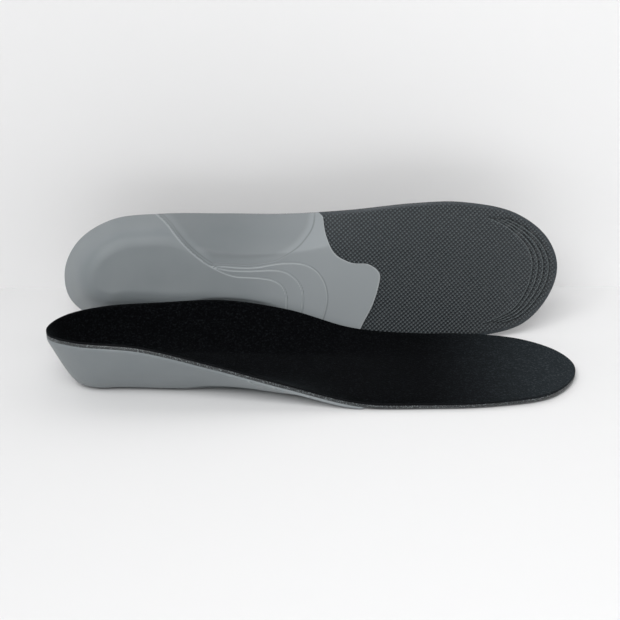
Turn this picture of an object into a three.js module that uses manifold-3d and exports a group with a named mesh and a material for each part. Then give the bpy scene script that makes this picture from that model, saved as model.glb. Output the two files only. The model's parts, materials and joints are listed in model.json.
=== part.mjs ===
// A pair of full-length arch-support insoles, in millimetres, +Z up, toes towards +X.
// The right insole lies sole down. The left one stands on its outer edge behind it, sole to the front.
// Each insole is a laminate: support shell, heel pad, cushion layer and top cover, bonded face to face.

import * as THREE from 'three';
import { mergeVertices } from 'three/addons/utils/BufferGeometryUtils.js';
import Module from 'manifold-3d';

const wasm = await Module();
wasm.setup();

// Whole insole
const insoleLength = 285;
const forefootWidth = 80;
const heelWidth = 66;
const heelRimHeight = 36.5;
const archRimHeight = 31.5;
const forefootEdgeLift = 1;

// Layers, from the top down
const coverThickness = 0.9;
const cushionThickness = 2.4;
const cushionEdgeThickness = 1.8;
const bondGap = 0.3;

// Support shell
const heelBedHeight = 6;
const bedFallStartShare = 0.263;
const bedFallEndShare = 0.79;
const cupFlatShare = 0.3;
const cupCurve = 2.4;
const archCurve = 1.7;
const innerFlare = 9.5;
const outerFlare = 14;
const heelBackFlare = 12;
const shellLip = 0.8;
const shellWall = 2;
const shellFrontThickness = 1;
const frontStepRise = 1.5;
const frontStepsStartShare = 0.428;
const frontStepsEndShare = 0.547;
const archHollow = { centreShare: 0.361, backLength: 40, frontLength: 44, reach: 31, height: 26 };
const outerHollow = { centreShare: 0.323, backLength: 36, frontLength: 36, reach: 25, height: 9 };

// Heel pad, let into a pocket in the shell
const padLength = 40;
const padWidth = 30;
const padSetback = 7;
const pocketFloor = 2.4;

// Flex line across the ball of the foot, where each full-length layer bends
const flexShare = 0.69;
const flexAngle = THREE.MathUtils.degToRad(12);
const flexGap = 0.4;

// How the left insole stands behind the right one
const leftLean = THREE.MathUtils.degToRad(18.5);
const leftRoll = THREE.MathUtils.degToRad(-2.6);
const leftYaw = THREE.MathUtils.degToRad(5);
const leftSetback = 1;
const gapBetweenPair = 1;

// Mesh density
const columnsPerSpan = 2;
const rings = [0, 0.3, 0.45, 0.58, 0.69, 0.79, 0.88, 0.95, 1];

const heelHalf = heelWidth / 2;
const foreHalf = forefootWidth / 2;
const edgeStack = coverThickness + bondGap + cushionEdgeThickness;
const heelRise = heelRimHeight - edgeStack;
const archRise = archRimHeight - edgeStack;
const padCentre = heelBackFlare + padSetback + padLength / 2;
const bedFallStart = bedFallStartShare * insoleLength;
const bedFallEnd = bedFallEndShare * insoleLength;
const frontStepsStart = frontStepsStartShare * insoleLength;
const frontStepsEnd = frontStepsEndShare * insoleLength;

// Top edge of the right insole, from the back of the heel round the outer side (-Y) to the toe and back:
// share of the length, share of a half width, that half width, height above the flat edge.
const rimRows = [
  [0.000, 0.00, heelHalf, 0.88 * heelRise],
  [0.009, -0.53, heelHalf, 0.955 * heelRise],
  [0.063, -0.89, heelHalf, heelRise],
  [0.181, -0.98, heelHalf, 0.94 * heelRise],
  [0.309, -1.01, heelHalf, 0.66 * heelRise],
  [0.449, -0.89, foreHalf, 0.33 * heelRise],
  [0.582, -0.95, foreHalf, 0.055 * heelRise],
  [0.702, -0.95, foreHalf, 0.9 * forefootEdgeLift],
  [0.821, -0.90, foreHalf, 0.9 * forefootEdgeLift],
  [0.933, -0.69, foreHalf, 1.4 * forefootEdgeLift],
  [0.988, -0.23, foreHalf, 1.2 * forefootEdgeLift],
  [1.000, 0.19, foreHalf, forefootEdgeLift],
  [0.975, 0.59, foreHalf, 1.4 * forefootEdgeLift],
  [0.909, 0.92, foreHalf, 2.2 * forefootEdgeLift],
  [0.802, 1.06, foreHalf, 2.9 * forefootEdgeLift],
  [0.707, 1.035, foreHalf, 3.6 * forefootEdgeLift],
  [0.575, 0.92, foreHalf, 0.33 * archRise],
  [0.449, 0.845, foreHalf, 0.78 * archRise],
  [0.321, 1.01, heelHalf, archRise],
  [0.196, 0.99, heelHalf, 0.965 * archRise],
  [0.095, 0.875, heelHalf, 0.955 * archRise],
  [0.028, 0.50, heelHalf, 0.99 * archRise],
];

// Front edge of the shell, from past the inner side to past the outer side:
// share of the length, share of the forefoot half width.
const shellFrontRows = [
  [0.520, 1.25], [0.524, 0.83], [0.532, 0.55], [0.548, 0.30], [0.579, 0.17], [0.614, 0.145],
  [0.635, 0.02], [0.633, -0.18], [0.621, -0.46], [0.600, -0.76], [0.575, -1.25],
];

const smooth = THREE.MathUtils.smoothstep;
const lerp = THREE.MathUtils.lerp;

const rimCurve = new THREE.CatmullRomCurve3(
  rimRows.map(([along, across, half, rise]) =>
    new THREE.Vector3(along * insoleLength, across * half, edgeStack + rise)),
  true, 'centripetal');
const columnCount = rimRows.length * columnsPerSpan;
const toeColumn = columnCount / 2;

// The spine runs down the middle of the insole, and every column crosses from it out to the rim.
const spineStart = heelHalf + 4;
const spineEnd = insoleLength - foreHalf;
const spineToeShift = 0.07 * foreHalf;

function makeColumn(index) {
  const rim = rimCurve.getPoint(index / columnCount);
  const partner = rimCurve.getPoint((columnCount - index) / columnCount);
  const x = THREE.MathUtils.clamp((rim.x + partner.x) / 2, spineStart, spineEnd);
  const y = spineToeShift * (x - spineStart) / (spineEnd - spineStart);
  const reach = Math.hypot(rim.x - x, rim.y - y);
  const backness = Math.max(0, (x - rim.x) / reach) ** 2;
  return { rim, spine: { x, y }, reach, backness, inner: rim.y > y };
}
const columns = Array.from({ length: columnCount }, (_, index) => makeColumn(index));

// Underside of the cushion layer, which the whole laminate follows.
function bedHeight(column, t) {
  const x = lerp(column.spine.x, column.rim.x, t);
  const middle = heelBedHeight * (1 - smooth(x, bedFallStart, bedFallEnd));
  const edge = column.rim.z - coverThickness - cushionEdgeThickness - bondAt(column, 1);
  const archness = column.inner ? smooth(x, spineStart, archHollow.centreShare * insoleLength) : 0;
  const curve = lerp(cupCurve, archCurve, archness);
  const across = Math.max(0, (t - cupFlatShare) / (1 - cupFlatShare));
  return lerp(middle, edge, across ** curve);
}

// Upright room left for a bond line, doubled on the steep wall of the heel cup.
function bondAt(column, t) {
  const steepness = Math.min(1, (column.rim.z - edgeStack) / heelRise) * t ** 4;
  return bondGap * (1 + steepness);
}

function cushionTop(column, t) {
  return bedHeight(column, t) + lerp(cushionThickness, cushionEdgeThickness, t ** 6);
}

function coverBottom(column, t) {
  return cushionTop(column, t) + bondAt(column, t);
}

function coverTop(column, t) {
  return coverBottom(column, t) + coverThickness;
}

function shellTop(column, t) {
  return Math.max(bedHeight(column, t) - bondAt(column, t), bondGap);
}

// Height of a hollow scooped in from the side, as a shallow dome that ends in a crisp edge.
function hollowHeight(hollow, x, depth) {
  const centre = hollow.centreShare * insoleLength;
  const along = (x - centre) / (x < centre ? hollow.backLength : hollow.frontLength);
  const across = depth / hollow.reach;
  return hollow.height * (1 - along ** 2 - across ** 2);
}

function shellBottom(column, t) {
  const x = lerp(column.spine.x, column.rim.x, t);
  const depth = (1 - t) * column.reach;
  const flare = lerp(column.inner ? innerFlare : outerFlare, heelBackFlare, column.backness);
  const rimEnd = shellTop(column, 1) - shellLip;
  const fall = 1 - depth / flare;
  const footRound = 0.12;
  const wall = rimEnd * (fall + Math.hypot(fall, footRound)) / 2 - bondGap;
  const hollow = hollowHeight(column.inner ? archHollow : outerHollow, x, depth);
  const steps = frontStepRise * smooth(x, frontStepsStart, frontStepsEnd);
  const inside = lerp(shellLip, shellWall, smooth(depth, 0, innerFlare));
  const thickness = lerp(inside, shellFrontThickness, smooth(x, frontStepsStart, frontStepsEnd));
  const highest = shellTop(column, t) - thickness;
  return Math.max(0, Math.min(Math.max(wall, hollow, steps), highest));
}

function padBottom() {
  return pocketFloor + bondGap;
}

function padTop(column, t) {
  return Math.max(shellTop(column, t), padBottom() + bondGap);
}

// A closed slab between two height functions over the insole's plan.
function slab(top, bottom) {
  const points = [];
  const triangles = [];
  const ringCount = rings.length;
  for (const height of [top, bottom]) {
    columns.forEach((column, index) => {
      const partner = columns[(columnCount - index) % columnCount];
      rings.forEach((t) => {
        const source = t === 0 && index > toeColumn ? partner : column;
        const x = lerp(column.spine.x, column.rim.x, t);
        const y = lerp(column.spine.y, column.rim.y, t);
        points.push(x, y, height(source, t));
      });
    });
  }
  const at = (layer, index, ring) => (layer * columnCount + index % columnCount) * ringCount + ring;
  const samePlace = (a, b) => [0, 1, 2].every((axis) => points[3 * a + axis] === points[3 * b + axis]);
  const addTriangle = (a, b, c) => {
    if (!samePlace(a, b) && !samePlace(b, c) && !samePlace(c, a)) {
      triangles.push(a, b, c);
    }
  };
  for (let index = 0; index < columnCount; index += 1) {
    for (let ring = 0; ring < ringCount - 1; ring += 1) {
      const upper = [at(0, index, ring), at(0, index, ring + 1), at(0, index + 1, ring + 1), at(0, index + 1, ring)];
      const lower = [at(1, index, ring), at(1, index, ring + 1), at(1, index + 1, ring + 1), at(1, index + 1, ring)];
      addTriangle(upper[0], upper[1], upper[2]);
      addTriangle(upper[0], upper[2], upper[3]);
      addTriangle(lower[0], lower[2], lower[1]);
      addTriangle(lower[0], lower[3], lower[2]);
    }
    const last = ringCount - 1;
    addTriangle(at(1, index, last), at(1, index + 1, last), at(0, index + 1, last));
    addTriangle(at(1, index, last), at(0, index + 1, last), at(0, index, last));
  }
  const geometry = new THREE.BufferGeometry();
  geometry.setAttribute('position', new THREE.Float32BufferAttribute(points, 3));
  geometry.setIndex(triangles);
  return solidFrom(geometry);
}

function solidFrom(geometry) {
  const bare = geometry.clone();
  bare.deleteAttribute('normal');
  bare.deleteAttribute('uv');
  const merged = mergeVertices(bare, 1e-4);
  const mesh = new wasm.Mesh({
    numProp: 3,
    vertProperties: new Float32Array(merged.attributes.position.array),
    triVerts: new Uint32Array(merged.index.array),
  });
  return new wasm.Manifold(mesh);
}

function geometryFrom(solid) {
  const mesh = solid.getMesh();
  const geometry = new THREE.BufferGeometry();
  geometry.setAttribute('position', new THREE.Float32BufferAttribute(Array.from(mesh.vertProperties), 3));
  geometry.setIndex(Array.from(mesh.triVerts));
  return geometry;
}

// An upright prism over a closed plan outline, from one height to another.
function prism(outline, low, high) {
  const geometry = new THREE.ExtrudeGeometry(new THREE.Shape(outline), { depth: high - low, bevelEnabled: false });
  geometry.translate(0, 0, low);
  return solidFrom(geometry);
}

function beyondShellFront() {
  const far = 2 * insoleLength;
  const edge = new THREE.SplineCurve(shellFrontRows.map(([along, across]) =>
    new THREE.Vector2(along * insoleLength, across * foreHalf)));
  const outline = edge.getPoints(3 * shellFrontRows.length).reverse();
  outline.push(new THREE.Vector2(far, foreHalf * 2), new THREE.Vector2(far, -foreHalf * 2));
  return prism(outline.reverse(), -heelRimHeight, 2 * heelRimHeight);
}

function padPrism(clearance, low) {
  const ellipse = new THREE.EllipseCurve(padCentre, 0, padLength / 2 + clearance, padWidth / 2 + clearance);
  return prism(ellipse.getPoints(32).slice(0, -1), low, heelRimHeight);
}

// Everything on the toe side (1) or the heel side (-1) of the flex line.
function besideFlexLine(side) {
  const size = 2 * insoleLength;
  const geometry = new THREE.BoxGeometry(size, size, size);
  geometry.translate(side * (size - flexGap) / 2, 0, 0);
  geometry.rotateZ(-flexAngle);
  geometry.translate(flexShare * insoleLength, 0, 0);
  return solidFrom(geometry);
}

function makeShell() {
  const blank = slab(shellTop, shellBottom);
  return blank.subtract(beyondShellFront()).subtract(padPrism(bondGap, pocketFloor));
}

function makeHeelPad() {
  return slab(padTop, padBottom).intersect(padPrism(0, 0));
}

const cover = slab(coverTop, coverBottom);
const cushion = slab(cushionTop, bedHeight);
const shapes = {
  top_cover_rear: cover.subtract(besideFlexLine(1)),
  top_cover_forefoot: cover.subtract(besideFlexLine(-1)),
  cushion_rear: cushion.subtract(besideFlexLine(1)),
  cushion_forefoot: cushion.subtract(besideFlexLine(-1)),
  support_shell: makeShell(),
  heel_pad: makeHeelPad(),
};

const finishes = {
  top_cover_rear: { color: 0x0b0d0e, roughness: 0.95, metalness: 0 },
  top_cover_forefoot: { color: 0x0b0d0e, roughness: 0.95, metalness: 0 },
  cushion_rear: { color: 0x3a4144, roughness: 0.85, metalness: 0 },
  cushion_forefoot: { color: 0x3a4144, roughness: 0.85, metalness: 0 },
  support_shell: { color: 0x7b8184, roughness: 0.6, metalness: 0 },
  heel_pad: { color: 0x46606c, roughness: 0.7, metalness: 0 },
};

// The left insole is the right one mirrored, with its triangles turned to face out again.
function mirrored(geometry) {
  const copy = geometry.clone();
  copy.scale(1, -1, 1);
  const index = copy.index.array;
  for (let first = 0; first < index.length; first += 3) {
    [index[first], index[first + 1]] = [index[first + 1], index[first]];
  }
  return copy;
}

function makeInsole(foot) {
  const insole = new THREE.Group();
  for (const [name, solid] of Object.entries(shapes)) {
    const right = geometryFrom(solid);
    const mesh = new THREE.Mesh(foot === 'left' ? mirrored(right) : right,
      new THREE.MeshStandardMaterial(finishes[name]));
    mesh.name = `${foot}_${name}`;
    mesh.position.x = -insoleLength / 2;
    insole.add(mesh);
  }
  return insole;
}

// The right insole's inner edge, which faces the left insole, at a place along its length.
function innerEdgeAt(x) {
  const edge = columns.filter(({ inner }) => inner).map(({ rim }) => rim);
  const next = edge.findIndex((point, index) => index > 0 && point.x <= x && edge[index - 1].x >= x);
  if (next < 0) {
    return -Infinity;
  }
  const share = (x - edge[next].x) / (edge[next - 1].x - edge[next].x);
  return lerp(edge[next].y, edge[next - 1].y, share);
}

function worldCorners(object) {
  const corners = [];
  object.updateMatrixWorld(true);
  object.traverse((mesh) => {
    if (mesh.isMesh) {
      const { position } = mesh.geometry.attributes;
      for (let index = 0; index < position.count; index += 1) {
        corners.push(new THREE.Vector3().fromBufferAttribute(position, index).applyMatrix4(mesh.matrixWorld));
      }
    }
  });
  return corners;
}

// Turned up onto its outer edge, leaning back, and set down just behind the right insole.
function standBehind(insole) {
  const upright = new THREE.Group();
  const placed = new THREE.Group();
  insole.rotation.z = -leftRoll;
  upright.rotation.x = -(Math.PI / 2 + leftLean);
  placed.rotation.z = leftYaw;
  placed.position.x = -leftSetback;
  upright.add(insole);
  placed.add(upright);
  const corners = worldCorners(placed);
  const lowest = Math.min(...corners.map(({ z }) => z));
  const nearFloor = corners.filter(({ z }) => z < lowest + 3 * edgeStack);
  const room = Math.min(...nearFloor.map(({ x, y }) => y - innerEdgeAt(x + insoleLength / 2)));
  placed.position.y = gapBetweenPair - room;
  placed.position.z = -lowest;
  return placed;
}

const rightInsole = makeInsole('right');
const leftInsole = standBehind(makeInsole('left'));
const pair = new THREE.Group();
pair.add(rightInsole, leftInsole);
pair.updateMatrixWorld(true);
const pairBox = new THREE.Box3().setFromObject(pair, true);
const middle = pairBox.getCenter(new THREE.Vector3());
pair.position.set(-middle.x, -middle.y, -pairBox.min.z);

export default pair;
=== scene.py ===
"""Looks for a pair of cushioned arch-support insoles.

The right insole lies sole down and the left one stands on its outer edge behind it. Each is a laminate of
a moulded support shell, a gel heel pad, a foam cushion layer and a brushed textile cover. The layers are
shaped in the right insole's own millimetres (heel at x 0, toe towards +x, inner side +y, sole at z 0),
mirrored for the left one, and set down where the frame's flex joints say.
"""

import json
import math
from types import SimpleNamespace

import bmesh
import bpy
import numpy as np
from mathutils import Matrix, Vector


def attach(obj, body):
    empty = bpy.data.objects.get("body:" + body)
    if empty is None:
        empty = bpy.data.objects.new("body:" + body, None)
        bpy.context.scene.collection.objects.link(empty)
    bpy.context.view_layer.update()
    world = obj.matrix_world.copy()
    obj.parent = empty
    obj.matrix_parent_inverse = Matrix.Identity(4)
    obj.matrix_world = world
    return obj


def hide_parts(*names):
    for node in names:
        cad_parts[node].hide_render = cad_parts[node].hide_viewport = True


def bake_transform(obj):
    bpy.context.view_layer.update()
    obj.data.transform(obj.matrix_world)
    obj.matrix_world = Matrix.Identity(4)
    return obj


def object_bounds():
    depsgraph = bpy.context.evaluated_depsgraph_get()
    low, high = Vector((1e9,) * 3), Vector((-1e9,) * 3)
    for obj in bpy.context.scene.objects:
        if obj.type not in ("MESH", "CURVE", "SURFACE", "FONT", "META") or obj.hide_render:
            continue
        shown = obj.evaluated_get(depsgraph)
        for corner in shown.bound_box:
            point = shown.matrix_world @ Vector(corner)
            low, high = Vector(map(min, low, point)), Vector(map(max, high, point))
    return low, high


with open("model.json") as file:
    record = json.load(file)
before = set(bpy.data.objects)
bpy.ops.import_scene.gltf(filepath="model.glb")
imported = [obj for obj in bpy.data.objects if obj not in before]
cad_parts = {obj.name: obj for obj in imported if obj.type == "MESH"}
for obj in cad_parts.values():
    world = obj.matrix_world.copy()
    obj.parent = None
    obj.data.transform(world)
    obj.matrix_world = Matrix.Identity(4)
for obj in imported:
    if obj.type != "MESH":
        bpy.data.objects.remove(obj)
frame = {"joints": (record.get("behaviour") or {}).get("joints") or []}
cad_low, cad_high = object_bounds()

# ---------------------------------------------------------------------------------------------------
# Sizes, in millimetres
# ---------------------------------------------------------------------------------------------------

MM = 0.001
INSOLE_LENGTH = 285
HEEL_HALF = 33
FORE_HALF = 40
COVER = 0.9
CUSHION = 2.4
CUSHION_EDGE = 1.8
BOND = 0.3
EDGE_STACK = COVER + BOND + CUSHION_EDGE
HEEL_RISE = 36.5 - EDGE_STACK
ARCH_RISE = 31.5 - EDGE_STACK
SEAM = 0.05  # what is left of a bond line once the glue has drawn the layers together

HEEL_BED = 6
BED_FALL = (0.263 * INSOLE_LENGTH, 0.79 * INSOLE_LENGTH)
CUP_FLAT_SHARE = 0.3
CUP_CURVE = 2.4
ARCH_CURVE = 1.7
INNER_FLARE = 9.5
OUTER_FLARE = 14
HEEL_BACK_FLARE = 12
SHELL_LIP = 0.8
SHELL_WALL = 2
SHELL_FRONT = 1
SHELL_EDGE_ROUND = 0.5
FRONT_THINNING = (0.428 * INSOLE_LENGTH, 0.547 * INSOLE_LENGTH)
ARCH_CENTRE = 0.361 * INSOLE_LENGTH
ARCH_SCOOP_BACK = 6.5  # how far in from the ridge the hollow falls
ARCH_SCOOP_FRONT = 20  # how far in from its front edge it falls
ARCH_LIP = 0.35
ARCH_HOLLOW_SHADE = 0.5  # painted shade: how much darker the arch hollow is painted
OUTER_HOLLOW = SimpleNamespace(centre=96, half_length=39, reach=20, height=7.5)

HEEL_DISH = 0.4
HEEL_DISH_RUN = 13  # how far in from the foot of the wall the dish is fully sunk
HEEL_DISH_END = (60, 92)
HEEL_FOOT = 0.32  # roundness of the foot of the wall, as a share of the flare
ARCH_FOOT = 1.3
FOOT_CHANGE = (55, 110)
WALL_FADE = (12, 29)

PAD_LENGTH = 40
PAD_WIDTH = 30
PAD_CENTRE = HEEL_BACK_FLARE + 7 + PAD_LENGTH / 2
POCKET_FLOOR = 2.4

FLEX_X = 0.69 * INSOLE_LENGTH
FLEX_AXIS_HEIGHT = 7

LEFT_LEAN = math.radians(18.5)
LEFT_ROLL = math.radians(-2.6)
LEFT_YAW = math.radians(5)

# Top edge, from the back of the heel round the outer side to the toe and back along the inner side:
# share of the length, share of a half width, that half width, height above the flat edge.
RIM_ROWS = [
    (0.000, 0.00, HEEL_HALF, 0.88 * HEEL_RISE),
    (0.009, -0.53, HEEL_HALF, 0.955 * HEEL_RISE),
    (0.063, -0.89, HEEL_HALF, HEEL_RISE),
    (0.181, -0.98, HEEL_HALF, 0.94 * HEEL_RISE),
    (0.309, -1.01, HEEL_HALF, 0.66 * HEEL_RISE),
    (0.449, -0.89, FORE_HALF, 0.33 * HEEL_RISE),
    (0.582, -0.95, FORE_HALF, 0.055 * HEEL_RISE),
    (0.702, -0.95, FORE_HALF, 0.9),
    (0.821, -0.90, FORE_HALF, 0.9),
    (0.933, -0.69, FORE_HALF, 1.4),
    (0.988, -0.23, FORE_HALF, 1.2),
    (1.000, 0.19, FORE_HALF, 1.0),
    (0.975, 0.59, FORE_HALF, 1.4),
    (0.909, 0.92, FORE_HALF, 2.2),
    (0.802, 1.06, FORE_HALF, 2.9),
    (0.707, 1.035, FORE_HALF, 3.6),
    (0.575, 0.92, FORE_HALF, 0.33 * ARCH_RISE),
    (0.449, 0.845, FORE_HALF, 0.78 * ARCH_RISE),
    (0.321, 1.01, HEEL_HALF, ARCH_RISE),
    (0.196, 0.99, HEEL_HALF, 0.965 * ARCH_RISE),
    (0.095, 0.875, HEEL_HALF, 0.955 * ARCH_RISE),
    (0.028, 0.50, HEEL_HALF, 0.99 * ARCH_RISE),
]

# Front edge of the shell, from past the outer side to past the inner side: share of the length,
# share of the forefoot half width.
SHELL_FRONT_ROWS = [
    (0.575, -1.25), (0.600, -0.76), (0.621, -0.46), (0.633, -0.18), (0.635, 0.02), (0.614, 0.145),
    (0.577, 0.17), (0.544, 0.30), (0.527, 0.55), (0.522, 0.83), (0.520, 1.25),
]

# The ridge that bounds the heel's sole, from the inner rim down to the root of the tongues, and the edge
# of the arch hollow from there round to the rim again.
RIDGE = [(40, 42), (47, 36.5), (54, 31.6), (60, 26.5), (65, 20.4), (71, 13.9), (77.5, 8.4), (84, 4.1)]
ARCH_EDGE = [(85.4, 5.6), (92.3, 5.2), (99.7, 4.9), (107, 5), (113.5, 5.8), (121, 7.4), (128, 10.9),
             (134.5, 15.4), (139.5, 21), (142.4, 25.4), (144, 30), (145, 38), (144, 50)]

# Three stepped tongues of the heel's sole: the front of each, from the root round to the outer hollow.
TONGUE_STEP = 0.5
CREST_WIDTH = 0.3
TONGUE_FRONTS = [
    [(93.3, -0.3), (98.7, -1.7), (106, -2.1), (113.5, -2.6), (120, -3.9), (125, -7.1), (127.3, -12), (127.7, -18.2),
     (126, -24.5), (121, -29), (112, -32), (100, -40)],
    [(92.3, 2.2), (103, 1.4), (113.5, 1.9), (122.5, 1.9), (128.5, 0.1), (133.5, -3.9), (136.6, -9.7), (137, -16.4),
     (135.4, -24), (131, -30), (123, -34), (108, -42)],
    [(93, 3.9), (103, 3.3), (111, 3.7), (119.6, 5.3), (127, 6.1), (134.4, 6), (140, 4.5), (145.2, 1), (149.3, -5.3),
     (151, -12.7), (150.3, -20), (147.5, -28), (142, -34), (132, -40), (118, -46)],
]
ROUND_THE_HEEL = [(100, -60), (-30, -60), (-30, 60), (30, 60)]

# Trimming lines moulded into the toe, one for each smaller shoe size
TRIM_INSET = 4.7
TRIM_GAP = 3.6
TRIM_STARTS = [252, 248.5, 245.5, 241.5]
TRIM_FADE = 3
TRIM_DEPTH = 0.4
TRIM_HALF_WIDTH = 0.6
TRIM_CLOSING = 0.78  # how much closer the lines lie at the sides than at the tip

SPINE_START = HEEL_HALF + 4
FAN_OVERLAP = 12  # how far past the spine's end the rim is read for the fan round it
SIDE_CLEAR = 20  # the rim this far from the middle line counts as a side
SPINE_END = INSOLE_LENGTH - FORE_HALF
SPINE_SHIFT = 0.07 * FORE_HALF
SHELL_SPINE_END = 140
SHELL_SPINE_SHIFT = -3
SHELL_CORNER = 2.6  # where the shell's front edge turns into its rim
PAD_CLEARANCE = 0.3
# painted highlight along the shell's front edge
SHELL_EDGE_HIGHLIGHT = 0.9

# Fineness of the layers: gap between columns, rings beside the rim, and shares of the rest of the way in
SHEET_GAP = 0.9
SHELL_GAP = 0.7
SHELL_RINGS = 78
EDGE_RINGS = [0, 0.03, 0.08, 0.16, 0.28, 0.45, 0.9, 1.6]
SHELL_EDGE_RINGS = [0, 0.03, 0.09, 0.18, 0.3, 0.45, 0.65]
PAD_EDGE_RINGS = [0, 0.1, 0.25, 0.45, 0.7, 1]
TRIM_RINGS = np.arange(0.75, 16.2, 0.275)
SHEET_SHARES = np.linspace(0, 1, 24)[1:]
CURVE_STEPS = 6
WELD_REACH = 1e-7  # metres

# Studio, in metres
WALL_Y = 0.099
PAPER_REACH = 3
SOFTBOX_PLACE = (-0.35, -0.95, 1.15)
SOFTBOX_SIZE = (1.3, 1.0)
SOFTBOX_WATTS = 16.4
AIR_LIGHT = 0.37

# Camera: its aim from the middle of the pair, its direction and its lens
CAMERA_AIM = (-0.0012, -0.0239, 0.002)
CAMERA_AZIMUTH = math.radians(-0.33)
CAMERA_ELEVATION = math.radians(24.43)
CAMERA_DISTANCE = 0.6565
CAMERA_LENS = 71.4


# ---------------------------------------------------------------------------------------------------
# Shape of the insole
# ---------------------------------------------------------------------------------------------------

def lerp(a, b, share):
    return a + (b - a) * share


def smoothstep(value, low, high):
    share = np.clip((value - low) / (high - low), 0, 1)
    return share * share * (3 - 2 * share)


def soft_max(a, b, round_off):
    """The higher of two surfaces, with the corner between them rounded."""
    return (a + b + np.hypot(a - b, round_off)) / 2


def soft_min(a, b, round_off):
    return -soft_max(-a, -b, round_off)


def spline(points, steps, closed):
    """A centripetal Catmull-Rom curve through the points."""
    points = np.asarray(points, float)
    count = len(points)
    if not closed:
        points = np.vstack([2 * points[0] - points[1], points, 2 * points[-1] - points[-2]])
    else:
        points = np.vstack([points[-1], points, points[:2]])
    spans = count if closed else count - 1
    share = (np.arange(steps) / steps)[:, None]
    out = []
    for span in range(spans):
        a, b, c, d = points[span:span + 4]
        gap_ab, gap_bc, gap_cd = (math.sqrt(np.linalg.norm(q - p)) for p, q in ((a, b), (b, c), (c, d)))
        leave = ((b - a) / gap_ab - (c - a) / (gap_ab + gap_bc) + (c - b) / gap_bc) * gap_bc
        arrive = ((c - b) / gap_bc - (d - b) / (gap_bc + gap_cd) + (d - c) / gap_cd) * gap_bc
        out.append(b + leave * share + (3 * (c - b) - 2 * leave - arrive) * share ** 2
                   + (2 * (b - c) + leave + arrive) * share ** 3)
    if not closed:
        out.append(points[-2][None, :])
    return np.vstack(out)


RIM = spline([(along * INSOLE_LENGTH, across * half, EDGE_STACK + rise)
              for along, across, half, rise in RIM_ROWS], 30, closed=True)


def fan_table(centre, facing):
    """Reach and height of the rim by angle, round one end of the spine."""
    ahead = facing * (RIM[:, 0] - centre[0])
    near, ahead = RIM[ahead > -FAN_OVERLAP], ahead[ahead > -FAN_OVERLAP]
    across = near[:, 1] - centre[1]
    angle = np.arctan2(across, ahead)
    order = np.argsort(angle)
    return angle[order], np.hypot(ahead, across)[order], near[order, 2]


def side_table(side):
    """Distance out and height of the rim by place along the insole, on one side."""
    edge = RIM[side * RIM[:, 1] > SIDE_CLEAR]
    order = np.argsort(edge[:, 0])
    return edge[order, 0], edge[order, 1], edge[order, 2]


HEEL_FAN = fan_table((SPINE_START, 0), -1)
TOE_FAN = fan_table((SPINE_END, SPINE_SHIFT), 1)
OUTER_SIDE = side_table(-1)
INNER_SIDE = side_table(1)


def spine_at(x):
    return SPINE_SHIFT * (x - SPINE_START) / (SPINE_END - SPINE_START)


def locate(x, y):
    """Where plan points lie between the spine and the rim, and what the rim does beside them."""
    spine_x = np.clip(x, SPINE_START, SPINE_END)
    spine_y = spine_at(spine_x)
    ahead, across = x - spine_x, y - spine_y
    inner = across > 0
    distance = np.hypot(ahead, across)
    heel_angle = np.arctan2(across, -ahead)
    toe_angle = np.arctan2(across, ahead)
    side_y = np.where(inner, np.interp(x, *INNER_SIDE[:2]), np.interp(x, *OUTER_SIDE[:2]))
    side_z = np.where(inner, np.interp(x, INNER_SIDE[0], INNER_SIDE[2]), np.interp(x, OUTER_SIDE[0], OUTER_SIDE[2]))
    in_heel, in_toe = x < SPINE_START, x > SPINE_END
    reach = np.select([in_heel, in_toe], [np.interp(heel_angle, *HEEL_FAN[:2]), np.interp(toe_angle, *TOE_FAN[:2])],
                      np.abs(side_y - spine_y))
    rim = np.select([in_heel, in_toe], [np.interp(heel_angle, HEEL_FAN[0], HEEL_FAN[2]),
                                        np.interp(toe_angle, TOE_FAN[0], TOE_FAN[2])], side_z)
    backness = np.where(in_heel, (ahead / np.maximum(distance, 1e-6)) ** 2, 0)
    share = np.clip(distance / reach, 0, 1)
    return SimpleNamespace(x=x, y=y, share=share, depth=(1 - share) * reach, rim=rim, backness=backness, inner=inner)


def bond_at(place, share):
    return BOND * (1 + np.minimum(1, (place.rim - EDGE_STACK) / HEEL_RISE) * share ** 4)


def bed(place):
    """Underside of the cushion layer, which the whole laminate follows."""
    middle = HEEL_BED * (1 - smoothstep(place.x, *BED_FALL))
    edge = place.rim - COVER - CUSHION_EDGE - bond_at(place, 1)
    archness = np.where(place.inner, smoothstep(place.x, SPINE_START, ARCH_CENTRE), 0)
    across = np.maximum(0, (place.share - CUP_FLAT_SHARE) / (1 - CUP_FLAT_SHARE))
    return lerp(middle, edge, across ** lerp(CUP_CURVE, ARCH_CURVE, archness))


def cushion_top(place):
    return bed(place) + lerp(CUSHION, CUSHION_EDGE, place.share ** 6)


def cover_top(place):
    return cushion_top(place) + bond_at(place, place.share) + COVER


def cover_bottom(place):
    return cushion_top(place) + SEAM


def trim_grooves(place):
    """Depth of the trimming lines, which draw together towards the sides of the toe, and painted shade in each
    groove (below 0) and a painted highlight just beside it (above 0)."""
    angle = np.arctan2(place.y - SPINE_SHIFT, place.x - SPINE_END)
    opening = np.maximum(1 - TRIM_CLOSING * np.hypot(angle, 0.15) / (math.pi / 2), 0.1)
    depth, mark = np.zeros_like(place.x), np.zeros_like(place.x)
    for line, start in enumerate(TRIM_STARTS):
        off = place.depth - TRIM_INSET - TRIM_GAP * line * opening
        there = smoothstep(place.x, start, start + TRIM_FADE)
        depth = np.maximum(depth, TRIM_DEPTH * (1 - smoothstep(np.abs(off), 0.1, TRIM_HALF_WIDTH)) * there)
        # painted highlight just beside each groove, painted shade in it
        lines = there * (0.9 * np.exp(-((off - 0.75) / 0.35) ** 2) - np.exp(-(off / 0.4) ** 2))
        mark = np.where(np.abs(lines) > np.abs(mark), lines, mark)
    return depth, mark


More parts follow.
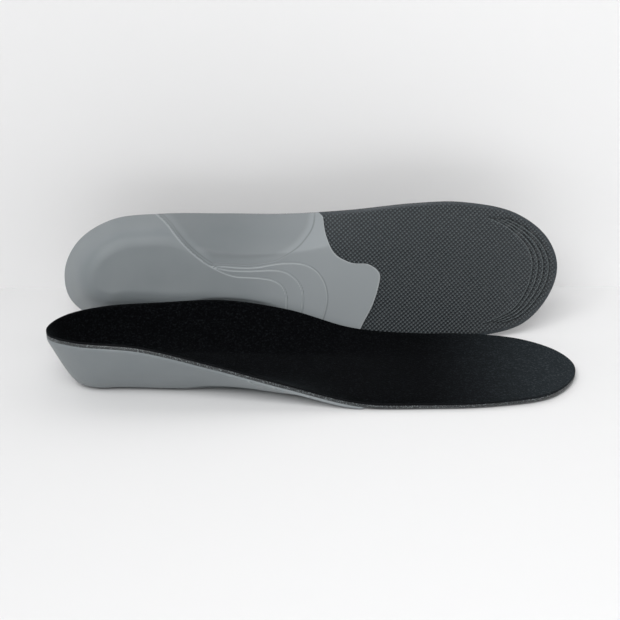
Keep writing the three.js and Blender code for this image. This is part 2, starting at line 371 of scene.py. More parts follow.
def cushion_sole(place):
    depth, mark = trim_grooves(place)
    return bed(place) + depth, mark


def shell_top(place):
    return bed(place) - SEAM


def line_distance(place, line):
    """Distance of plan points from a line of points."""
    nearest = np.full(place.x.shape, np.inf)
    for (ax, ay), (bx, by) in zip(line[:-1], line[1:]):
        run, rise = bx - ax, by - ay
        share = np.clip(((place.x - ax) * run + (place.y - ay) * rise) / (run ** 2 + rise ** 2), 0, 1)
        nearest = np.minimum(nearest, np.hypot(place.x - ax - share * run, place.y - ay - share * rise))
    return nearest


def outside_distance(place, outline):
    """Signed distance of plan points from a closed outline, positive outside it."""
    closed = np.vstack([outline, outline[:1]])
    crossings = np.zeros(place.x.shape, int)
    for (ax, ay), (bx, by) in zip(closed[:-1], closed[1:]):
        if ay != by:
            crossings += ((ay > place.y) != (by > place.y)) & (place.x < ax + (place.y - ay) * (bx - ax) / (by - ay))
    return np.where(crossings % 2 == 1, -1, 1) * line_distance(place, closed)


def flare_at(place):
    return lerp(np.where(place.inner, INNER_FLARE, OUTER_FLARE), HEEL_BACK_FLARE, place.backness)


def heel_wall(place):
    """Outside of the heel cup and of the arch: a straight flare with a rounded foot."""
    rim_end = place.rim - COVER - CUSHION_EDGE - 2 * bond_at(place, 1) - SHELL_LIP
    fall = 1 - place.depth / flare_at(place)
    foot = np.where(place.inner, lerp(HEEL_FOOT, ARCH_FOOT, smoothstep(place.x, *FOOT_CHANGE)), HEEL_FOOT)
    eased = (fall + np.hypot(fall, foot)) / (1 + np.hypot(1, foot))
    return rim_end * eased * (1 - smoothstep(place.depth, *WALL_FADE)) - BOND


def heel_dish(place):
    """The heel's sole is dished a little inside the foot of the wall."""
    inward = smoothstep(place.depth - flare_at(place), 0, HEEL_DISH_RUN)
    return HEEL_DISH * inward * (1 - smoothstep(place.x, *HEEL_DISH_END))


def outer_hollow(place):
    """The hollow under the outer side, where the sole lifts off the floor."""
    along = (place.x - OUTER_HOLLOW.centre) / OUTER_HOLLOW.half_length
    return OUTER_HOLLOW.height * (1 - along ** 2 - (place.depth / OUTER_HOLLOW.reach) ** 4)


def shifted_ridge(along, across):
    return [(x + along, y + across) for x, y in RIDGE]


# Each tongue's ridge lies a hair outside the one before, and the hollow starts just past the last.
TONGUE_OUTLINES = [
    np.vstack([spline(shifted_ridge(0.15 * line, 0.15 * line) + front, CURVE_STEPS, False), ROUND_THE_HEEL])
    for line, front in enumerate(TONGUE_FRONTS)]
ARCH_RIDGE = spline(shifted_ridge(1.4, 1.1), CURVE_STEPS, False)
ARCH_FRONT = spline(ARCH_EDGE, CURVE_STEPS, False)
ARCH_OUTLINE = np.vstack([ARCH_RIDGE, ARCH_FRONT[1:], [(60, 60)]])


def shell_sole(place):
    """Underside of the shell, and the painted light on it: painted highlights on the tongues' crests (above 0),
    painted shade in their creases and in the arch hollow (below 0).
    """
    steps = np.zeros_like(place.x)
    painted_light_mark = np.zeros_like(place.x)
    into_arch = -outside_distance(place, ARCH_OUTLINE)
    beside_hollow = 1 - smoothstep(into_arch, -0.4, 0.2)
    on_sole = 1 - smoothstep(outer_hollow(place) - heel_wall(place), -0.5, 0.5)
    for outline in TONGUE_OUTLINES:
        beyond = outside_distance(place, outline)
        steps += TONGUE_STEP * smoothstep(beyond, -0.35, 0.45)
        # painted highlight on each tongue's crest and painted shade in the crease just outside it
        crest = (np.exp(-((beyond + 0.3) / CREST_WIDTH) ** 2)
                 - 0.8 * np.exp(-((beyond - 0.5) / CREST_WIDTH) ** 2))
        painted_light_mark = np.where(np.abs(crest) > np.abs(painted_light_mark), crest, painted_light_mark)
    # the crest marks fade beside the hollow and off the sole; a painted shade line runs just inside the arch
    # hollow's edge
    painted_light_mark = painted_light_mark * beside_hollow * on_sole - 0.9 * np.exp(-((into_arch - 0.35) / 0.4) ** 2)
    level = soft_max(heel_wall(place), steps + heel_dish(place), 0.25)
    inside = lerp(SHELL_LIP, SHELL_WALL, smoothstep(place.depth, 0, INNER_FLARE))
    thinnest = shell_top(place) - lerp(inside, SHELL_FRONT, smoothstep(place.x, *FRONT_THINNING))
    scoop = np.where(into_arch > 0, (1 - np.exp(-line_distance(place, ARCH_RIDGE) / ARCH_SCOOP_BACK))
                     * smoothstep(line_distance(place, ARCH_FRONT), 0, ARCH_SCOOP_FRONT), 0)
    level += np.maximum(thinnest - level, 0) * scoop + ARCH_LIP * smoothstep(into_arch, 0, 0.6)
    # painted shade over the arch hollow
    painted_light_mark = np.where(scoop > 0, np.minimum(painted_light_mark, -ARCH_HOLLOW_SHADE * smoothstep(into_arch, 0.5, 5)), painted_light_mark)
    hollowed = soft_max(level, outer_hollow(place), 0.3)
    return np.maximum(0, soft_min(hollowed, thinnest, 0.8)), painted_light_mark


# ---------------------------------------------------------------------------------------------------
# Skins and layers
# ---------------------------------------------------------------------------------------------------

def spread(low, high, gap):
    """Evenly spaced values from low up to, but not at, high."""
    return np.linspace(low, high, max(2, round(abs(high - low) / gap)), endpoint=False)


def heel_points(angles):
    reach = np.interp(angles, *HEEL_FAN[:2])
    return np.column_stack([SPINE_START - reach * np.cos(angles), reach * np.sin(angles)])


def toe_points(angles):
    reach = np.interp(angles, *TOE_FAN[:2])
    return np.column_stack([SPINE_END + reach * np.cos(angles), SPINE_SHIFT + reach * np.sin(angles)])


def side_points(x, side):
    return np.column_stack([x, np.interp(x, *side[:2])])


def footprint(gap):
    """Rim points of the whole insole in order, each with the spine point that its column runs to."""
    quarter = math.pi / 2
    outer_heel = spread(0, -quarter, gap / HEEL_HALF)
    outer_side = spread(SPINE_START, SPINE_END, gap)
    toe = spread(-quarter, quarter, gap / FORE_HALF)
    inner_side = spread(SPINE_END, SPINE_START, gap)
    inner_heel = spread(quarter, 0, gap / HEEL_HALF)
    outline = np.vstack([heel_points(outer_heel), side_points(outer_side, OUTER_SIDE), toe_points(toe),
                         side_points(inner_side, INNER_SIDE), heel_points(inner_heel)])
    spine_x = np.clip(outline[:, 0], SPINE_START, SPINE_END)
    return outline, np.column_stack([spine_x, spine_at(spine_x)])


def shell_footprint(gap):
    """Outline of the shell in order, each point with the place on the shell's own spine that it runs to."""
    quarter = math.pi / 2
    front = spline([(along * INSOLE_LENGTH, across * FORE_HALF) for along, across in SHELL_FRONT_ROWS], 14, False)
    margin = SHELL_CORNER
    clear = ((front[:, 1] > np.interp(front[:, 0], *OUTER_SIDE[:2]) + margin)
             & (front[:, 1] < np.interp(front[:, 0], *INNER_SIDE[:2]) - margin))
    front = front[clear]
    outer_side = np.concatenate([spread(SPINE_START, SHELL_SPINE_END, gap),
                                 spread(SHELL_SPINE_END, front[0, 0] - margin, gap)])
    inner_side = np.concatenate([spread(front[-1, 0] - margin, SHELL_SPINE_END, gap),
                                 spread(SHELL_SPINE_END, SPINE_START, gap)])
    outer_side = side_points(outer_side, OUTER_SIDE)
    inner_side = side_points(inner_side, INNER_SIDE)
    bend = slice(CURVE_STEPS, 2 * CURVE_STEPS)
    outer_corner = spline([outer_side[-3], outer_side[-1], front[0], front[2]], CURVE_STEPS, False)[bend]
    inner_corner = spline([front[-3], front[-1], inner_side[0], inner_side[2]], CURVE_STEPS, False)[bend]
    outline = np.vstack([heel_points(spread(0, -quarter, gap / HEEL_HALF)), outer_side, outer_corner[1:],
                         front, inner_corner[1:], inner_side, heel_points(spread(quarter, 0, gap / HEEL_HALF))])
    spine_x = np.clip(outline[:, 0], SPINE_START, SHELL_SPINE_END)
    spine_y = SHELL_SPINE_SHIFT * (spine_x - SPINE_START) / (SHELL_SPINE_END - SPINE_START)
    return outline, np.column_stack([spine_x, spine_y])


def plan_grid(outline, centre, insets, shares):
    """Plan points from the outline (ring 0) inwards: first at set distances, then at shares of what is left."""
    away = centre - outline
    reach = np.linalg.norm(away, axis=1)[:, None]
    insets = np.asarray(insets, float)[None, :]
    further = insets[:, -1:] + (reach - insets[:, -1:]) * np.asarray(shares)[None, :]
    distance = np.hstack([np.repeat(insets, len(outline), axis=0), further])
    return outline[:, None, :] + away[:, None, :] * (distance / reach)[:, :, None], distance


def rounded(distance, radius):
    """How far a surface turns away beside an edge that is rounded to that radius."""
    inside = np.clip(radius - distance, 0, radius)
    return radius - np.sqrt(radius ** 2 - inside ** 2)


def skin(grid, height, radius, turn):
    """One face of a layer, its edge rounded: turn is -1 for a top face and 1 for a sole."""
    points, distance = grid
    place = locate(points[..., 0], points[..., 1])
    found = height(place)
    z, painted_light_mark = found if isinstance(found, tuple) else (found, np.zeros_like(place.x))
    return SimpleNamespace(points=np.dstack([points, z + turn * rounded(distance, radius)]),
                           depth=place.depth, painted_light_mark=painted_light_mark)


def grid_faces(columns, rings, first, flip):
    """Quads of a grid of rings, each ring closing on itself."""
    i, k = np.meshgrid(np.arange(columns), np.arange(rings - 1), indexing="ij")
    following = (i + 1) % columns
    corners = [i * rings + k, following * rings + k, following * rings + k + 1, i * rings + k + 1]
    if flip:
        corners.reverse()
    return first + np.stack(corners, axis=-1).reshape(-1, 4)


def side_faces(columns, top_rings, first, bottom_rings):
    """Quads between the outermost rings of the two faces of a layer."""
    i = np.arange(columns)
    following = (i + 1) % columns
    return np.stack([first + i * bottom_rings, first + following * bottom_rings,
                     following * top_rings, i * top_rings], axis=-1)


def place_on(foot, points):
    """Points moved from the insole's own millimetres to the frame's metres."""
    sides = np.array([1, -1 if foot.mirrored else 1, 1])
    return ((points * sides) @ foot.turn.T) * MM + foot.offset


def weld(mesh):
    """Joins the points that meet on the spine, so that the layer is one closed body."""
    work = bmesh.new()
    work.from_mesh(mesh)
    bmesh.ops.remove_doubles(work, verts=work.verts, dist=WELD_REACH)
    bmesh.ops.dissolve_degenerate(work, edges=work.edges, dist=WELD_REACH)
    for face in work.faces:
        face.smooth = True
    work.to_mesh(mesh)
    work.free()


def layer(name, foot, top, bottom):
    """A closed layer between a top and a bottom skin that share their outline."""
    columns, top_rings = top.points.shape[:2]
    bottom_rings = bottom.points.shape[1]
    first = columns * top_rings
    points = np.vstack([top.points.reshape(-1, 3), bottom.points.reshape(-1, 3)])
    faces = np.vstack([grid_faces(columns, top_rings, 0, False),
                       grid_faces(columns, bottom_rings, first, True),
                       side_faces(columns, top_rings, first, bottom_rings)])
    if foot.mirrored:
        faces = faces[:, ::-1]
    outline = top.points[:, 0, :2]
    run = np.concatenate([[0], np.cumsum(np.linalg.norm(np.diff(outline, axis=0), axis=1))])
    along = np.concatenate([np.repeat(run, top_rings), np.repeat(run, bottom_rings)])
    depth = np.concatenate([top.depth.ravel(), bottom.depth.ravel()])
    painted_light_mark = np.concatenate([top.painted_light_mark.ravel(), bottom.painted_light_mark.ravel()])
    mesh = bpy.data.meshes.new(name)
    mesh.from_pydata(place_on(foot, points), [], faces.tolist())
    for label, values in (("sole", points), ("edge", np.column_stack([along, depth, painted_light_mark]))):
        attribute = mesh.attributes.new(label, "FLOAT_VECTOR", "POINT")
        attribute.data.foreach_set("vector", values.astype(np.float32).ravel())
    weld(mesh)
    piece = bpy.data.objects.new(name, mesh)
    bpy.context.scene.collection.objects.link(piece)
    return piece


# ---------------------------------------------------------------------------------------------------
# Where each insole stands
# ---------------------------------------------------------------------------------------------------

def make_foot(name, turn, mirrored):
    """One insole's place, taken from its flex joint."""
    joint = next(joint for joint in frame["joints"] if joint["name"] == f"{name}_forefoot_flex")
    hinge = np.array([FLEX_X, 0, FLEX_AXIS_HEIGHT]) @ np.array(turn).T * MM
    return SimpleNamespace(name=name, mirrored=mirrored, turn=np.array(turn),
                           offset=np.array(joint["pos_m"]) - hinge)


STANDING = (Matrix.Rotation(LEFT_YAW, 3, "Z") @ Matrix.Rotation(-math.pi / 2 - LEFT_LEAN, 3, "X")
            @ Matrix.Rotation(-LEFT_ROLL, 3, "Z"))
FEET = [make_foot("right", Matrix.Identity(3), False), make_foot("left", STANDING, True)]


# ---------------------------------------------------------------------------------------------------
# The layers
# ---------------------------------------------------------------------------------------------------

def make_cover(foot):
    grid = plan_grid(*footprint(SHEET_GAP), EDGE_RINGS, SHEET_SHARES)
    return layer(f"{foot.name}_top_cover", foot, skin(grid, cover_top, 0.4, -1), skin(grid, cover_bottom, 0.12, 1))


def make_cushion(foot):
    top = plan_grid(*footprint(SHEET_GAP), EDGE_RINGS, SHEET_SHARES)
    sole = plan_grid(*footprint(SHEET_GAP), np.concatenate([EDGE_RINGS[:6], TRIM_RINGS]), SHEET_SHARES[::2])
    return layer(f"{foot.name}_cushion_layer", foot, skin(top, cushion_top, 0.12, -1),
                 skin(sole, cushion_sole, 0.45, 1))


def on_ellipse(toward, clearance):
    """Points of the pad's outline, widened by a clearance, in the directions of other plan points."""
    angle = np.arctan2(toward[:, 1], toward[:, 0] - PAD_CENTRE)
    half_length, half_width = PAD_LENGTH / 2 + clearance, PAD_WIDTH / 2 + clearance
    reach = half_length * half_width / np.hypot(half_width * np.cos(angle), half_length * np.sin(angle))
    return np.column_stack([PAD_CENTRE + reach * np.cos(angle), reach * np.sin(angle)])


def make_shell(foot):
    outline, spine = shell_footprint(SHELL_GAP)
    brink = on_ellipse(outline, PAD_CLEARANCE)
    upper = skin(plan_grid(outline, brink, EDGE_RINGS, np.linspace(0, 1, 16)[1:]), shell_top, 0.15, -1)
    centre = np.broadcast_to([PAD_CENTRE, 0], outline.shape)
    pocket = skin(plan_grid(brink, centre, [0, 0.2], np.linspace(0, 1, 5)[1:]),
                  lambda place: np.full_like(place.x, POCKET_FLOOR), 0.15, 1)
    for field in ("points", "depth", "painted_light_mark"):
        setattr(upper, field, np.concatenate([getattr(upper, field), getattr(pocket, field)], axis=1))
    sole = skin(plan_grid(outline, spine, SHELL_EDGE_RINGS, np.linspace(0, 1, SHELL_RINGS)[1:]), shell_sole,
                SHELL_EDGE_ROUND, 1)
    front = (slice(None), slice(len(SHELL_EDGE_RINGS)))
    # painted highlight along the shell's front edge, where it lies well inside the rim
    sole.painted_light_mark[front] += SHELL_EDGE_HIGHLIGHT * smoothstep(sole.depth[front], 1, 3)
    return layer(f"{foot.name}_moulded_shell", foot, upper, sole)


def make_heel_pad(foot):
    angle = spread(math.pi, 3 * math.pi, 0.08)
    toward = np.column_stack([PAD_CENTRE + np.cos(angle), np.sin(angle)])
    outline = on_ellipse(toward, 0)
    centre = np.broadcast_to([PAD_CENTRE, 0], outline.shape)
    grid = plan_grid(outline, centre, PAD_EDGE_RINGS, np.linspace(0, 1, 12)[1:])
    top = skin(grid, shell_top, 0.6, -1)
    sole = skin(grid, lambda place: np.full_like(place.x, POCKET_FLOOR + SEAM), 0.6, 1)
    return layer(f"{foot.name}_gel_heel_pad", foot, top, sole)


# ---------------------------------------------------------------------------------------------------
# Finishes
# ---------------------------------------------------------------------------------------------------

def add(tree, kind, inputs=None, **settings):
    """A node whose inputs are values, or outputs of other nodes."""
    made = tree.nodes.new(kind)
    for name, value in settings.items():
        setattr(made, name, value)
    for key, value in (inputs or {}).items():
        if isinstance(value, bpy.types.NodeSocket):
            tree.links.new(value, made.inputs[key])
        else:
            made.inputs[key].default_value = value
    return made


def maths(tree, operation, first, second=0.0, clamp=False):
    return add(tree, "ShaderNodeMath", {0: first, 1: second}, operation=operation, use_clamp=clamp).outputs[0]


def offset_product(tree, first, second, offset):
    return add(tree, "ShaderNodeMath", {0: first, 1: second, 2: offset}, operation="MULTIPLY_ADD").outputs[0]


def ramp(tree, value, low, high):
    """0 below low, 1 above high, smooth between."""
    limits = {"Value": value, "From Min": low, "From Max": high}
    return add(tree, "ShaderNodeMapRange", limits, interpolation_type="SMOOTHSTEP").outputs["Result"]


def blend_colours(tree, share, first, second):
    """A mix of two colours, each three numbers or a socket."""
    first, second = (value if isinstance(value, bpy.types.NodeSocket) else (*value, 1) for value in (first, second))
    return add(tree, "ShaderNodeMix", {0: share, 6: first, 7: second}, data_type="RGBA").outputs[2]


def noise(tree, where, scale, detail=2.0, roughness=0.5):
    inputs = {"Vector": where, "Scale": scale, "Detail": detail, "Roughness": roughness}
    return add(tree, "ShaderNodeTexNoise", inputs).outputs["Fac"]


def stretched(tree, where, sizes):
    """Places divided by a size along each axis, so that a pattern runs longer one way."""
    return add(tree, "ShaderNodeVectorMath", {0: where, 1: sizes}, operation="DIVIDE").outputs[0]


def new_group(name, inputs, outputs):
    """An empty node group with named sockets."""
    group = bpy.data.node_groups.new(name, "ShaderNodeTree")
    for label, kind in inputs:
        group.interface.new_socket(label, in_out="INPUT", socket_type=kind)
    for label in outputs:
        group.interface.new_socket(label, in_out="OUTPUT", socket_type="NodeSocketFloat")
    return group, group.nodes.new("NodeGroupInput").outputs, group.nodes.new("NodeGroupOutput").inputs


def make_foam_grain():
    """Fine moulded grain with broader, fainter blotches under it."""
    group, given, result = new_group("Foam Grain", [("Place", "NodeSocketVector"), ("Grain Size", "NodeSocketFloat"),
                                                    ("Blotch Size", "NodeSocketFloat")], ["Grain", "Blotch"])
    fineness = maths(group, "DIVIDE", 1.0, given["Grain Size"])
    breadth = maths(group, "DIVIDE", 1.0, given["Blotch Size"])
    group.links.new(noise(group, given["Place"], fineness, 3.0, 0.6), result["Grain"])
    group.links.new(noise(group, given["Place"], breadth, 2.0, 0.55), result["Blotch"])
    return group


def make_knurl():
    """Rows of small raised dots in two directions at right angles."""
    group, given, result = new_group("Dotted Knurl", [("Place", "NodeSocketVector"), ("Row Gap", "NodeSocketFloat"),
                                                      ("Angle", "NodeSocketFloat")], ["Height", "Crown"])
    turned = add(group, "ShaderNodeVectorRotate", {"Vector": given["Place"], "Angle": given["Angle"]},
                 rotation_type="Z_AXIS").outputs[0]
    split = add(group, "ShaderNodeSeparateXYZ", {0: turned}).outputs
    rate = maths(group, "DIVIDE", math.tau, given["Row Gap"])
    rows = [maths(group, "COSINE", maths(group, "MULTIPLY", across, rate)) for across in (split[0], split[1])]
    height = offset_product(group, maths(group, "ADD", *rows), 0.25, 0.5)
    group.links.new(height, result["Height"])
    group.links.new(ramp(group, height, 0.62, 0.86), result["Crown"])
    return group


FOAM_GRAIN = make_foam_grain()
KNURL = make_knurl()


def use_group(tree, group, inputs):
    made = tree.nodes.new("ShaderNodeGroup")
    made.node_tree = group
    for key, value in inputs.items():
        if isinstance(value, bpy.types.NodeSocket):
            tree.links.new(value, made.inputs[key])
        else:
            made.inputs[key].default_value = value
    return made.outputs


def new_finish(name, **constants):
    """A material with its one Principled shader, and the values that are the same all over set on it."""
    finish = bpy.data.materials.new(name)
    finish.use_nodes = True
    tree = finish.node_tree
    shader = tree.nodes["Principled BSDF"]
    for label, value in constants.items():
        shader.inputs[label.replace("_", " ")].default_value = value
    return finish, tree, shader


def surface_places(tree):
    """The places that the layers carry: own millimetres, how far along, rim places, and how far in and the painted
    light mark (painted highlight above 0, painted shade below 0).
    """
    sole = add(tree, "ShaderNodeAttribute", attribute_name="sole").outputs["Vector"]
    along = add(tree, "ShaderNodeSeparateXYZ", {0: sole}).outputs[0]
    rim = add(tree, "ShaderNodeAttribute", attribute_name="edge").outputs["Vector"]
    return sole, along, rim, add(tree, "ShaderNodeSeparateXYZ", {0: rim}).outputs[1:]


def finish_surface(tree, shader, colour, roughness, height, relief):
    """Feeds a shader its colour and roughness, and a height in 0 to 1 that stands relief millimetres high."""
    tree.links.new(colour, shader.inputs["Base Color"])
    tree.links.new(roughness, shader.inputs["Roughness"])
    bump = add(tree, "ShaderNodeBump", {"Height": height, "Distance": relief * MM, "Strength": 1.0})
    tree.links.new(bump.outputs["Normal"], shader.inputs["Normal"])


def brushed_textile():
    """Black brushed knit: a short nap, brushed lengthways, with lighter fibre ends, and painted sheen that lightens
    it towards the toe.
    """
    finish, tree, shader = new_finish("Brushed black textile", Sheen_Weight=0.03, Sheen_Roughness=0.4,
                                      Sheen_Tint=(0.62, 0.74, 0.8, 1), Specular_IOR_Level=0.03)
    sole, along, _, (depth, _) = surface_places(tree)
    brushed = noise(tree, stretched(tree, sole, (2.2, 0.7, 0.7)), 1.0, 4.0, 0.65)
    nap = noise(tree, sole, 0.95, 3.0, 0.75)
    patches = noise(tree, sole, 0.05, 3.0, 0.6)
    fibres = maths(tree, "MULTIPLY", ramp(tree, nap, 0.46, 0.66), ramp(tree, brushed, 0.36, 0.6))
    # painted sheen: ground and fibre ends are painted lighter towards the toe
    painted_toe_sheen = ramp(tree, along, 197.0, 290.0)
    ground = blend_colours(tree, patches, (0.0008, 0.0009, 0.0013), (0.0014, 0.0016, 0.0020))
    ground = blend_colours(tree, painted_toe_sheen, ground, (0.0185, 0.0230, 0.0262))
    ends = blend_colours(tree, painted_toe_sheen, (0.0085, 0.0100, 0.0115), (0.056, 0.068, 0.077))
    colour = blend_colours(tree, fibres, ground, ends)
    cut_edge = maths(tree, "SUBTRACT", 1.0, ramp(tree, depth, 0.1, 0.7))
    colour = blend_colours(tree, maths(tree, "MULTIPLY", cut_edge, 0.5), colour, (0.012, 0.013, 0.014))
    roughness = offset_product(tree, nap, 0.15, 0.82)
    finish_surface(tree, shader, colour, roughness, maths(tree, "ADD", nap, brushed), 0.16)
    return finish


def knurled_foam():
    """Dark grey cushion foam: diagonal knurl underneath with painted highlights on its crowns and painted shade in
    its valleys, painted shade and highlight along the trimming grooves, a plain margin, and a pitted, moulded edge.
    """
    finish, tree, shader = new_finish("Knurled dark foam", Specular_IOR_Level=0.55, Sheen_Weight=0.05)
    sole, _, rim, (depth, painted_light_mark) = surface_places(tree)
    knurl = use_group(tree, KNURL, {"Place": sole, "Row Gap": 1.76, "Angle": math.radians(-41)})
    grain = use_group(tree, FOAM_GRAIN, {"Place": sole, "Grain Size": 0.5, "Blotch Size": 14.0})
    field = ramp(tree, depth, 0.7, 2.6)
    dots = maths(tree, "MULTIPLY", knurl["Crown"], field)
    base = blend_colours(tree, grain["Blotch"], (0.027, 0.035, 0.042), (0.038, 0.048, 0.056))
    # painted shade in the knurl's valleys
    painted_valley_shade = maths(tree, "MULTIPLY", maths(tree, "SUBTRACT", 1.0, knurl["Height"]), field)
    colour = blend_colours(tree, maths(tree, "MULTIPLY", painted_valley_shade, 0.95), base, (0.013, 0.016, 0.019))
    # painted highlight on the knurl's crowns
    colour = blend_colours(tree, dots, colour, (0.092, 0.114, 0.120))
    # painted shade in the trimming grooves
    colour = blend_colours(tree, ramp(tree, painted_light_mark, -0.1, -0.9), colour, (0.010, 0.013, 0.015))
    # painted highlight beside the trimming grooves
    painted_highlight = maths(tree, "MULTIPLY", ramp(tree, painted_light_mark, 0.1, 0.9), 0.6)
    colour = blend_colours(tree, painted_highlight, colour, (0.150, 0.178, 0.184))
    wall = maths(tree, "SUBTRACT", 1.0, ramp(tree, depth, 0.05, 0.5))
    colour = blend_colours(tree, wall, colour, (0.016, 0.019, 0.021))
    pits = noise(tree, stretched(tree, rim, (0.9, 1.0, 1.0)), 1.0, 2.0, 0.6)
    flecks = maths(tree, "MULTIPLY", ramp(tree, noise(tree, sole, 1.5, 2.0, 0.7), 0.53, 0.62), wall)
    colour = blend_colours(tree, flecks, colour, (0.16, 0.18, 0.185))
    height = offset_product(tree, grain["Grain"], 0.12, maths(tree, "MULTIPLY", knurl["Height"], field))
    roughness = offset_product(tree, pits, 0.2, 0.36)
    finish_surface(tree, shader, colour, roughness, height, 0.85)
    return finish


def moulded_foam():
    """Grey moulded foam: satin, mottled and paler forward, with painted highlights on its crests and front edge and
    painted shade in its creases and arch hollow.
    """
    finish, tree, shader = new_finish("Satin grey moulded foam", Specular_IOR_Level=0.45, Sheen_Weight=0.08)
    sole, along, _, (_, painted_light_mark) = surface_places(tree)
    grain = use_group(tree, FOAM_GRAIN, {"Place": sole, "Grain Size": 0.35, "Blotch Size": 22.0})
    forward = ramp(tree, along, 85.0, 150.0)
    colour = blend_colours(tree, grain["Blotch"], (0.178, 0.202, 0.214), (0.214, 0.236, 0.246))
    colour = blend_colours(tree, forward, colour, (0.272, 0.297, 0.310))
    # painted highlight on the tongues' crests and the front edge
    painted_highlight = maths(tree, "MULTIPLY", ramp(tree, painted_light_mark, 0.05, 1.0), 0.5)
    # painted shade in the creases and over the arch hollow
    painted_shade = maths(tree, "MULTIPLY", ramp(tree, painted_light_mark, -0.05, -1.0), 0.55)
    colour = blend_colours(tree, painted_highlight, colour, (0.43, 0.46, 0.47))
    colour = blend_colours(tree, painted_shade, colour, (0.075, 0.085, 0.09))
    roughness = offset_product(tree, grain["Grain"], 0.14, 0.42)
    finish_surface(tree, shader, colour, roughness, grain["Grain"], 0.03)
    return finish


def soft_gel():
    """Blue-grey shock-absorbing gel with a wide soft knurl, and painted highlights on the knurl's crowns."""
    finish, tree, shader = new_finish("Blue-grey gel", Subsurface_Weight=0.15, Subsurface_Scale=0.002)
    sole = surface_places(tree)[0]
    knurl = use_group(tree, KNURL, {"Place": sole, "Row Gap": 3.0, "Angle": math.radians(45)})
    grain = use_group(tree, FOAM_GRAIN, {"Place": sole, "Grain Size": 0.8, "Blotch Size": 9.0})
    colour = blend_colours(tree, grain["Blotch"], (0.06, 0.13, 0.17), (0.09, 0.17, 0.21))
    # painted highlight on the knurl's crowns
    colour = blend_colours(tree, maths(tree, "MULTIPLY", knurl["Crown"], 0.3), colour, (0.15, 0.25, 0.3))
    roughness = offset_product(tree, grain["Grain"], 0.15, 0.3)
    finish_surface(tree, shader, colour, roughness, knurl["Height"], 0.3)
    return finish


def studio_paper(name, colour, left_shade_colour):
    """Pale matt paper with painted shade that greys it towards the left, seen only from its lit side."""
    finish, tree, shader = new_finish(name, Roughness=0.9, Specular_IOR_Level=0.1)
    where = add(tree, "ShaderNodeTexCoord").outputs["Object"]
    # painted shade: brighter on the right and greyer on the left, as if the light fell from the right
    across = ramp(tree, add(tree, "ShaderNodeSeparateXYZ", {0: where}).outputs[0], -0.25, 0.2)
    mottle = maths(tree, "MULTIPLY", noise(tree, where, 3.0), 0.1)
    paper = blend_colours(tree, mottle, blend_colours(tree, across, left_shade_colour, colour), left_shade_colour)
    tree.links.new(paper, shader.inputs["Base Color"])
    clear = add(tree, "ShaderNodeBsdfTransparent").outputs[0]
    behind = add(tree, "ShaderNodeNewGeometry").outputs["Backfacing"]
    seen = add(tree, "ShaderNodeMixShader", {0: behind, 1: shader.outputs[0], 2: clear})
    tree.links.new(seen.outputs[0], tree.nodes["Material Output"].inputs["Surface"])
    return finish


# ---------------------------------------------------------------------------------------------------
# The studio
# ---------------------------------------------------------------------------------------------------

def make_sheet_of_paper(name, corners, finish):
    mesh = bpy.data.meshes.new(name)
    mesh.from_pydata(corners, [], [(0, 1, 2, 3)])
    mesh.materials.append(finish)
    sheet = bpy.data.objects.new(name, mesh)
    bpy.context.scene.collection.objects.link(sheet)


def make_softbox(name, place, target, size, power):
    lamp = bpy.data.lights.new(name, "AREA")
    lamp.shape = "RECTANGLE"
    lamp.size, lamp.size_y = size
    lamp.energy = power
    softbox = bpy.data.objects.new(name, lamp)
    softbox.location = place
    softbox.rotation_euler = (Vector(target) - Vector(place)).to_track_quat("-Z", "Y").to_euler()
    bpy.context.scene.collection.objects.link(softbox)


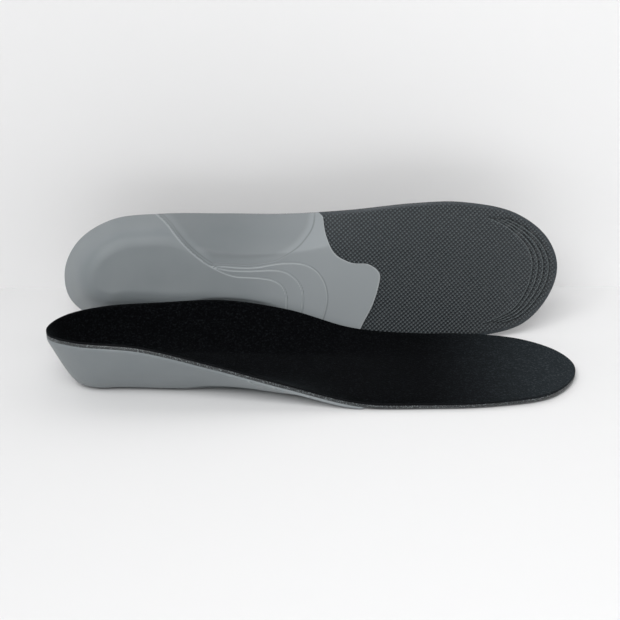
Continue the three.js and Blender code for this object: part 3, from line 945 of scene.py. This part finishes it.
def make_studio():
    left, right, back, top = -PAPER_REACH, PAPER_REACH, WALL_Y, PAPER_REACH
    # both papers carry painted shade, greyer towards the left
    floor_paper = studio_paper("Floor paper", (0.90, 0.90, 0.903), (0.77, 0.77, 0.773))
    wall_paper = studio_paper("Wall paper", (0.97, 0.97, 0.973), (0.84, 0.84, 0.843))
    make_sheet_of_paper("studio_floor", [(left, left, 0), (right, left, 0), (right, right, 0), (left, right, 0)],
                        floor_paper)
    make_sheet_of_paper("studio_wall", [(left, back, 0), (right, back, 0), (right, back, top), (left, back, top)],
                        wall_paper)
    make_softbox("high_softbox", SOFTBOX_PLACE, (0, 0.02, 0), SOFTBOX_SIZE, SOFTBOX_WATTS)
    world = bpy.data.worlds.new("studio_air")
    world.use_nodes = True
    world.node_tree.nodes["Background"].inputs["Color"].default_value = (1, 1, 1, 1)
    world.node_tree.nodes["Background"].inputs["Strength"].default_value = AIR_LIGHT
    bpy.context.scene.world = world
    bpy.context.scene.view_settings.view_transform = "Standard"


def make_camera():
    """Looks down on the pair from in front of the right insole's outer side."""
    target = (cad_low + cad_high) / 2 + Vector(CAMERA_AIM)
    level = math.cos(CAMERA_ELEVATION)
    back = Vector((math.sin(CAMERA_AZIMUTH) * level, -math.cos(CAMERA_AZIMUTH) * level, math.sin(CAMERA_ELEVATION)))
    lens = bpy.data.cameras.new("camera")
    lens.lens = CAMERA_LENS
    lens.sensor_width = 36
    camera = bpy.data.objects.new("camera", lens)
    camera.location = target + back * CAMERA_DISTANCE
    camera.rotation_euler = (-back).to_track_quat("-Z", "Y").to_euler()
    bpy.context.scene.collection.objects.link(camera)
    bpy.context.scene.camera = camera


# ---------------------------------------------------------------------------------------------------
# Putting the pair together
# ---------------------------------------------------------------------------------------------------

def bend_with_forefoot(piece):
    """Bakes a full-length layer's placing into its points; the layer is not bent at the flex line."""
    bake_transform(piece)


def build_insole(foot, finishes):
    shell = make_shell(foot)
    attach(shell, f"{foot.name}_insole")
    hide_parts(f"{foot.name}_support_shell")
    pad = make_heel_pad(foot)
    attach(pad, f"{foot.name}_insole")
    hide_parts(f"{foot.name}_heel_pad")
    cushion = make_cushion(foot)
    bend_with_forefoot(cushion)
    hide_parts(f"{foot.name}_cushion_rear", f"{foot.name}_cushion_forefoot")
    cover = make_cover(foot)
    bend_with_forefoot(cover)
    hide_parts(f"{foot.name}_top_cover_rear", f"{foot.name}_top_cover_forefoot")
    for piece, slot in ((shell, "support_shell"), (pad, "heel_pad"), (cushion, "cushion"), (cover, "top_cover")):
        piece.data.materials.append(finishes[slot])


make_camera()
make_studio()
FINISHES = {"support_shell": moulded_foam(), "heel_pad": soft_gel(), "cushion": knurled_foam(),
            "top_cover": brushed_textile()}
for each_foot in FEET:
    build_insole(each_foot, FINISHES)
